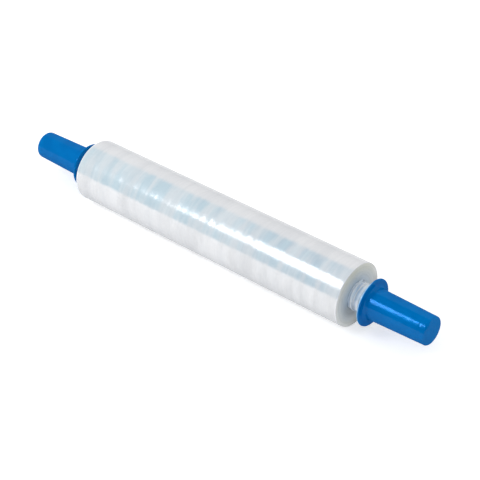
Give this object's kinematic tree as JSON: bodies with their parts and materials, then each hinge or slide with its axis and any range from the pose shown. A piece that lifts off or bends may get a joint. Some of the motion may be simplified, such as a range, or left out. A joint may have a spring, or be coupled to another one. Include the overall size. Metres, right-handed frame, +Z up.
{
  "type": "stretch wrap roll",
  "caption": "Wide roll of clear stretch film on a long tube core, lying on its side, with a loose flanged blue sleeve over each core end that brakes the roll in the hand.",
  "frame": {"origin": "middle of the small flat spot that the roll lies on, halfway along the film", "axes": "+X along the roll's axis towards the sleeve with the wider gap to the film, +Z up, -Z out of the flat spot"},
  "size_m": [0.742, 0.096, 0.0956],
  "materials": {
    "stretch_film": "clear film in many turns, glossy and pale",
    "core_tube": "pale card tube under a few loose turns of film",
    "blue_plastic": "glossy moulded polyethylene"
  },
  "bodies": {
    "roll": {"film_roll": "stretch_film", "core": "core_tube"},
    "right_sleeve": {"right_handle": "blue_plastic"},
    "left_sleeve": {"left_handle": "blue_plastic"}
  },
  "joints": [
    {"name": "right_spin", "type": "hinge", "parent": "roll", "child": "right_sleeve", "pos_m": [0.2758, 0, 0.0476], "axis": [1, 0, 0], "continuous": true},
    {"name": "left_spin", "type": "hinge", "parent": "roll", "child": "left_sleeve", "pos_m": [-0.2682, 0, 0.0476], "axis": [1, 0, 0], "continuous": true}
  ]
}
